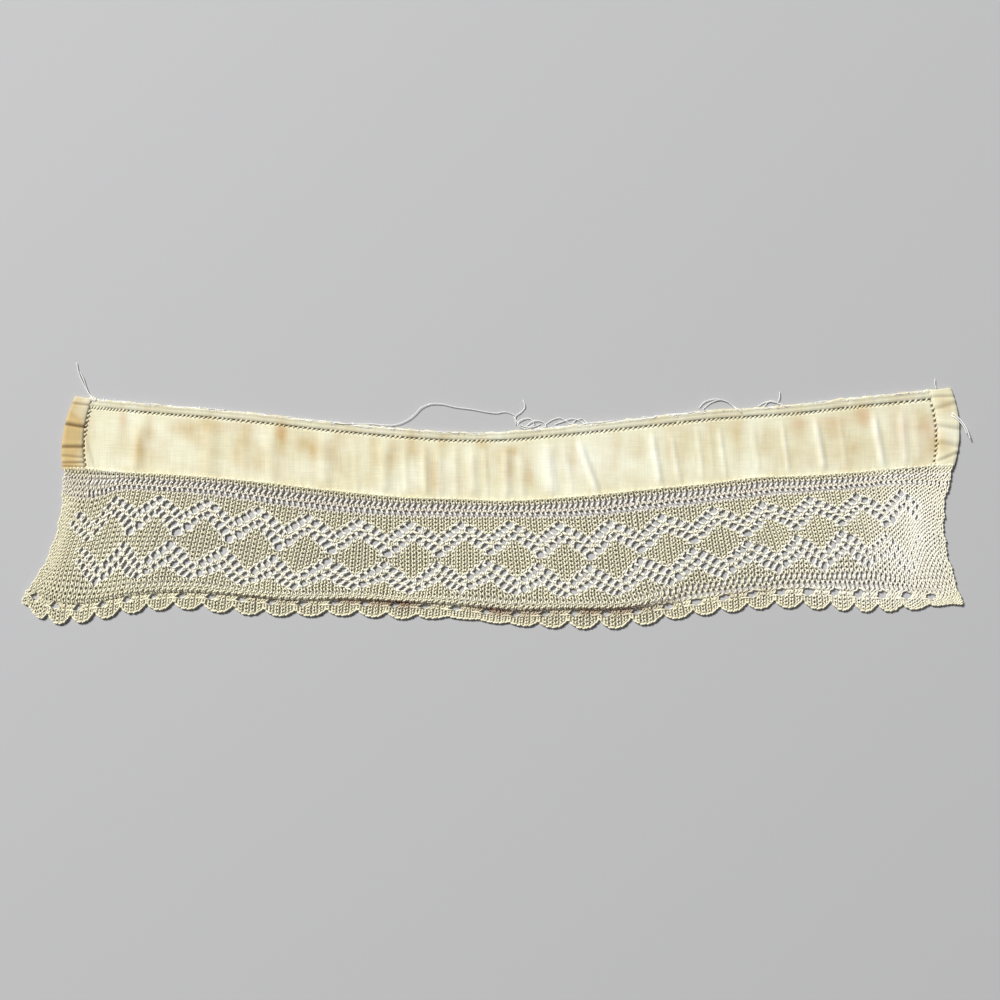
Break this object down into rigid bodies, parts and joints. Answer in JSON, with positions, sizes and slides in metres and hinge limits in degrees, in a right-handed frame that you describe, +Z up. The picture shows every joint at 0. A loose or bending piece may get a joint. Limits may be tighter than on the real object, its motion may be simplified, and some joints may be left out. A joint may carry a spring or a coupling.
{
  "type": "knitted lace trim with a hemmed cloth band",
  "caption": "Hand-knitted cotton lace edging with zigzag eyelets, diamonds and a scalloped edge, sewn to a narrow hem-stitched cloth band, lying flat.",
  "frame": {"origin": "middle of the bounding box, on the surface that the trim lies on", "axes": "+X along the trim with the face up and the scallops towards the viewer, +Y from the scalloped edge to the hem, +Z up out of the face"},
  "size_m": [0.3946, 0.101, 0.0026],
  "materials": {
    "cotton_cloth": "fine plain-woven cotton, cream with tan age stains, matt",
    "cotton_lace": "knitted ecru cotton thread, matt"
  },
  "bodies": {
    "root": {"band": "cotton_cloth", "lace": "cotton_lace"}
  },
  "joints": []
}
